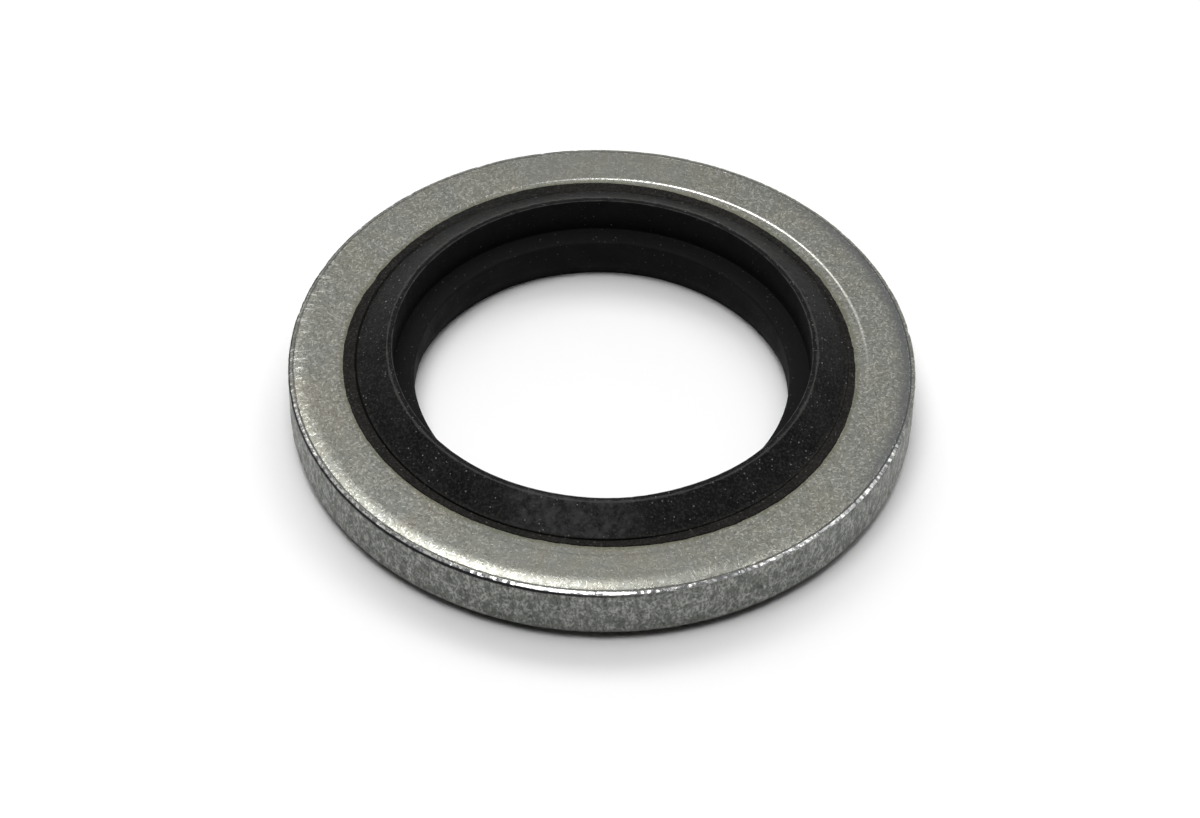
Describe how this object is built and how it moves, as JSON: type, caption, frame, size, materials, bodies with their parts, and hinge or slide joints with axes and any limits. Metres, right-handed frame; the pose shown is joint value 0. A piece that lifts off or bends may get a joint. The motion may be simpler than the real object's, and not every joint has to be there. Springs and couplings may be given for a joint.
{
  "type": "bonded sealing washer",
  "caption": "Self-centring bonded sealing washer: a flat plated steel ring with a rubber seal moulded in its bore, with a tall lip on one face, a low lip on the other and a web that grips the thread.",
  "frame": {"origin": "centre of the bore, half way through the thickness of the steel ring", "axes": "+Z along the axis of the bore, out of the face that has the tall lip and the die-roll; +X and +Y lie across the ring in any direction"},
  "size_m": [0.0206, 0.0206, 0.0029],
  "materials": {
    "steel": "stamped steel, dull bright zinc plate, scuffed by tumbling",
    "rubber": "moulded, semi-matt black"
  },
  "bodies": {
    "root": {"steel_ring": "steel", "rubber_seal": "rubber"}
  },
  "joints": []
}
